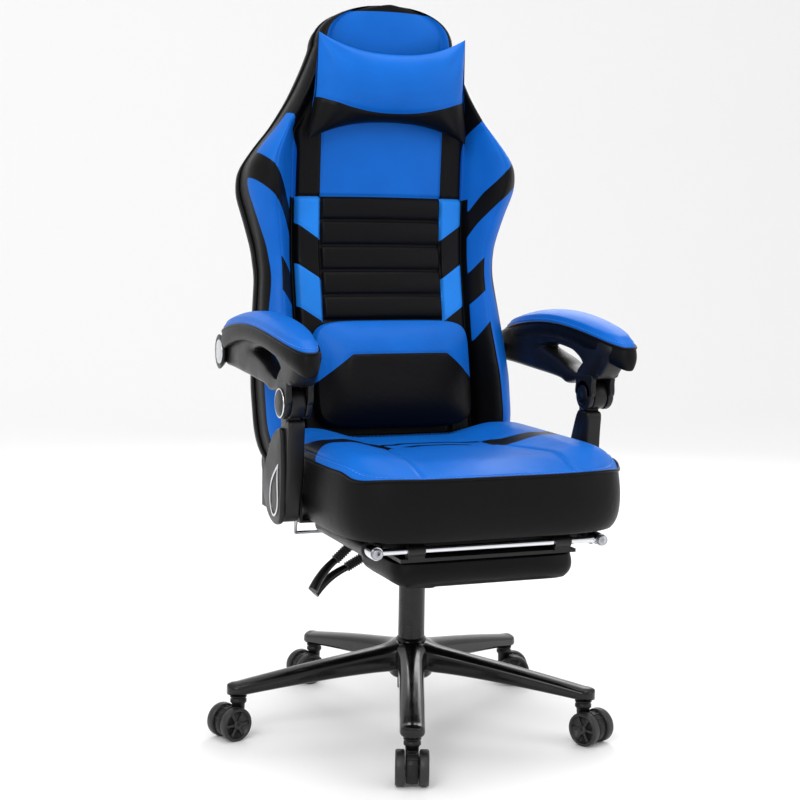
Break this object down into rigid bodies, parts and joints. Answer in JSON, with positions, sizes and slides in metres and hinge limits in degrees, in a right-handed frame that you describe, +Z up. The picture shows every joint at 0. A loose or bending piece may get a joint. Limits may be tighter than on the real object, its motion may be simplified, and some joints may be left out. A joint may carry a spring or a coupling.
{
  "type": "gaming chair",
  "caption": "High-backed reclining chair on a star base with twin-wheel casters, gas lift, linked padded armrests, pull-out footrest, head pillow and lumbar pillow.",
  "frame": {"origin": "on the floor, on the gas lift's axis", "axes": "+Z up, -Y the way the sitter faces, +X the sitter's left"},
  "size_m": [0.7285, 0.753, 1.3579],
  "materials": {
    "base_paint": "gloss black paint",
    "lift_paint": "semi-gloss black paint",
    "frame_paint": "satin black powder coat",
    "steel": "bright turned steel",
    "chrome_trim": "bright chrome plate",
    "caster_plastic": "moulded nylon",
    "wheel_plastic": "nylon hub with a soft tread",
    "lever_plastic": "moulded black plastic",
    "boot_rubber": "ribbed rubber boot",
    "arm_plastic": "moulded black plastic, fine grain",
    "plywood": "birch plywood",
    "rest_board": "black steel pan",
    "blue_leatherette": "smooth blue leatherette",
    "two_tone_leatherette": "blue and black leatherette panels",
    "black_leatherette": "black grained leatherette",
    "elastic": "woven elastic band"
  },
  "bodies": {
    "root": {"star_base": "base_paint", "caster_stems": "steel", "gas_lift_tube": "lift_paint", "gas_lift_bushing": "caster_plastic", "gas_piston_rod": "steel"},
    "caster_1": {"caster_1_housing": "caster_plastic", "caster_1_axle": "steel"},
    "caster_1_wheel_left": {"caster_1_wheel_left": "wheel_plastic"},
    "caster_1_wheel_right": {"caster_1_wheel_right": "wheel_plastic"},
    "caster_2": {"caster_2_housing": "caster_plastic", "caster_2_axle": "steel"},
    "caster_2_wheel_left": {"caster_2_wheel_left": "wheel_plastic"},
    "caster_2_wheel_right": {"caster_2_wheel_right": "wheel_plastic"},
    "caster_3": {"caster_3_housing": "caster_plastic", "caster_3_axle": "steel"},
    "caster_3_wheel_left": {"caster_3_wheel_left": "wheel_plastic"},
    "caster_3_wheel_right": {"caster_3_wheel_right": "wheel_plastic"},
    "caster_4": {"caster_4_housing": "caster_plastic", "caster_4_axle": "steel"},
    "caster_4_wheel_left": {"caster_4_wheel_left": "wheel_plastic"},
    "caster_4_wheel_right": {"caster_4_wheel_right": "wheel_plastic"},
    "caster_5": {"caster_5_housing": "caster_plastic", "caster_5_axle": "steel"},
    "caster_5_wheel_left": {"caster_5_wheel_left": "wheel_plastic"},
    "caster_5_wheel_right": {"caster_5_wheel_right": "wheel_plastic"},
    "lift": {"gas_inner_cylinder": "steel"},
    "swivel": {"mechanism_housing": "frame_paint"},
    "knob": {"tension_knob": "caster_plastic"},
    "height_lever": {"height_lever": "lever_plastic", "height_lever_boot": "boot_rubber"},
    "seat": {"tilt_plate": "frame_paint", "mechanism_bolts": "steel", "seat_frame": "frame_paint", "footrest_guides": "frame_paint", "seat_board": "plywood", "seat_cushion": "two_tone_leatherette"},
    "tilt_lever": {"tilt_lever": "lever_plastic", "tilt_lever_boot": "boot_rubber"},
    "release": {"recline_release": "steel"},
    "footrest_slide": {"footrest_slides": "chrome_trim", "footrest_crossbar": "chrome_trim", "footrest_end_caps": "chrome_trim"},
    "footrest": {"footrest_board": "rest_board", "footrest_cushion": "black_leatherette"},
    "back": {"back_frame": "frame_paint", "back_cushion": "two_tone_leatherette", "back_cover": "black_leatherette", "lumbar_pillow": "blue_leatherette", "head_pillow": "blue_leatherette", "pillow_straps": "elastic"},
    "arm_left": {"arm_beam_left": "arm_plastic", "arm_pad_left": "blue_leatherette", "arm_pivot_caps_left": "chrome_trim"},
    "post_left": {"arm_post_left": "arm_plastic", "post_trim_left": "chrome_trim"},
    "arm_right": {"arm_beam_right": "arm_plastic", "arm_pad_right": "blue_leatherette", "arm_pivot_caps_right": "chrome_trim"},
    "post_right": {"arm_post_right": "arm_plastic", "post_trim_right": "chrome_trim"}
  },
  "joints": [
    {"name": "caster_1_swivel", "type": "hinge", "parent": "root", "child": "caster_1", "pos_m": [-0.12078, -0.3114, 0.08], "axis": [0, 0, 1], "continuous": true},
    {"name": "caster_1_wheel_left_spin", "type": "hinge", "parent": "caster_1", "child": "caster_1_wheel_left", "pos_m": [-0.12795, -0.33007, 0.031], "axis": [0.9336, -0.3584, 0], "continuous": true},
    {"name": "caster_1_wheel_right_spin", "type": "hinge", "parent": "caster_1", "child": "caster_1_wheel_right", "pos_m": [-0.12795, -0.33007, 0.031], "axis": [0.9336, -0.3584, 0], "continuous": true},
    {"name": "caster_2_swivel", "type": "hinge", "parent": "root", "child": "caster_2", "pos_m": [0.25883, -0.2111, 0.08], "axis": [0, 0, 1], "continuous": true},
    {"name": "caster_2_wheel_left_spin", "type": "hinge", "parent": "caster_2", "child": "caster_2_wheel_left", "pos_m": [0.26697, -0.22937, 0.031], "axis": [0.9135, 0.4067, 0], "continuous": true},
    {"name": "caster_2_wheel_right_spin", "type": "hinge", "parent": "caster_2", "child": "caster_2_wheel_right", "pos_m": [0.26697, -0.22937, 0.031], "axis": [0.9135, 0.4067, 0], "continuous": true},
    {"name": "caster_3_swivel", "type": "hinge", "parent": "root", "child": "caster_3", "pos_m": [0.28075, 0.18093, 0.08], "axis": [0, 0, 1], "continuous": true},
    {"name": "caster_3_wheel_left_spin", "type": "hinge", "parent": "caster_3", "child": "caster_3_wheel_left", "pos_m": [0.29954, 0.17409, 0.031], "axis": [0.342, 0.9397, 0], "continuous": true},
    {"name": "caster_3_wheel_right_spin", "type": "hinge", "parent": "caster_3", "child": "caster_3_wheel_right", "pos_m": [0.29954, 0.17409, 0.031], "axis": [0.342, 0.9397, 0], "continuous": true},
    {"name": "caster_4_swivel", "type": "hinge", "parent": "root", "child": "caster_4", "pos_m": [-0.08532, 0.32292, 0.08], "axis": [0, 0, 1], "continuous": true},
    {"name": "caster_4_wheel_left_spin", "type": "hinge", "parent": "caster_4", "child": "caster_4_wheel_left", "pos_m": [-0.10501, 0.31945, 0.031], "axis": [0.1736, -0.9848, 0], "continuous": true},
    {"name": "caster_4_wheel_right_spin", "type": "hinge", "parent": "caster_4", "child": "caster_4_wheel_right", "pos_m": [-0.10501, 0.31945, 0.031], "axis": [0.1736, -0.9848, 0], "continuous": true},
    {"name": "caster_5_swivel", "type": "hinge", "parent": "root", "child": "caster_5", "pos_m": [-0.33348, 0.01864, 0.08], "axis": [0, 0, 1], "continuous": true},
    {"name": "caster_5_wheel_left_spin", "type": "hinge", "parent": "caster_5", "child": "caster_5_wheel_left", "pos_m": [-0.35227, 0.0118, 0.031], "axis": [0.342, -0.9397, 0], "continuous": true},
    {"name": "caster_5_wheel_right_spin", "type": "hinge", "parent": "caster_5", "child": "caster_5_wheel_right", "pos_m": [-0.35227, 0.0118, 0.031], "axis": [0.342, -0.9397, 0], "continuous": true},
    {"name": "lift_height", "type": "slide", "parent": "root", "child": "lift", "axis": [0, 0, 1], "range_m": [0, 0.08]},
    {"name": "seat_swivel", "type": "hinge", "parent": "lift", "child": "swivel", "pos_m": [0, 0, 0.33], "axis": [0, 0, 1], "continuous": true},
    {"name": "tension_knob_turn", "type": "hinge", "parent": "swivel", "child": "knob", "pos_m": [0, -0.072, 0.3], "axis": [0, 0, 1], "range_deg": [0, 1080]},
    {"name": "height_lever_lift", "type": "hinge", "parent": "swivel", "child": "height_lever", "pos_m": [-0.045, -0.014, 0.355], "axis": [-1, 0, 0], "range_deg": [0, 15], "stiffness_Nm_per_rad": 3, "springref_deg": -8.59},
    {"name": "seat_tilt", "type": "hinge", "parent": "swivel", "child": "seat", "pos_m": [0, -0.06, 0.376], "axis": [-1, 0, 0], "range_deg": [0, 8], "stiffness_Nm_per_rad": 260, "springref_deg": -14.32},
    {"name": "tilt_lever_lift", "type": "hinge", "parent": "swivel", "child": "tilt_lever", "pos_m": [-0.045, 0.026, 0.3455], "axis": [-1, 0, 0], "range_deg": [0, 15], "stiffness_Nm_per_rad": 3, "springref_deg": -8.59},
    {"name": "recline_release_lift", "type": "hinge", "parent": "seat", "child": "release", "pos_m": [-0.17, -0.05, 0.389], "axis": [1, 0, 0], "range_deg": [0, 15], "stiffness_Nm_per_rad": 1, "springref_deg": -5.73},
    {"name": "footrest_pull", "type": "slide", "parent": "seat", "child": "footrest_slide", "axis": [0, -1, 0], "range_m": [0, 0.25]},
    {"name": "footrest_flip", "type": "hinge", "parent": "footrest_slide", "child": "footrest", "pos_m": [0, -0.346, 0.408], "axis": [-1, 0, 0], "range_deg": [0, 180]},
    {"name": "back_recline", "type": "hinge", "parent": "seat", "child": "back", "pos_m": [0, 0.185, 0.48], "axis": [-1, 0, 0], "range_deg": [0, 40]},
    {"name": "arm_rear_pivot_left", "type": "hinge", "parent": "back", "child": "arm_left", "pos_m": [0.289, 0.206, 0.696], "axis": [1, 0, 0], "range_deg": [0, 32]},
    {"name": "arm_front_pivot_left", "type": "hinge", "parent": "arm_left", "child": "post_left", "pos_m": [0.289, -0.164, 0.638], "axis": [-1, 0, 0], "range_deg": [0, 32]},
    {"name": "arm_rear_pivot_right", "type": "hinge", "parent": "back", "child": "arm_right", "pos_m": [-0.289, 0.206, 0.696], "axis": [1, 0, 0], "range_deg": [0, 32]},
    {"name": "arm_front_pivot_right", "type": "hinge", "parent": "arm_right", "child": "post_right", "pos_m": [-0.289, -0.164, 0.638], "axis": [-1, 0, 0], "range_deg": [0, 32]}
  ],
  "couplings": [
    {"joint": "footrest_flip", "follows": "footrest_pull", "rad_per_m": 12.566},
    {"joint": "arm_rear_pivot_left", "follows": "back_recline", "ratio": 0.8},
    {"joint": "arm_front_pivot_left", "follows": "back_recline", "ratio": 0.8},
    {"joint": "arm_rear_pivot_right", "follows": "back_recline", "ratio": 0.8},
    {"joint": "arm_front_pivot_right", "follows": "back_recline", "ratio": 0.8}
  ]
}
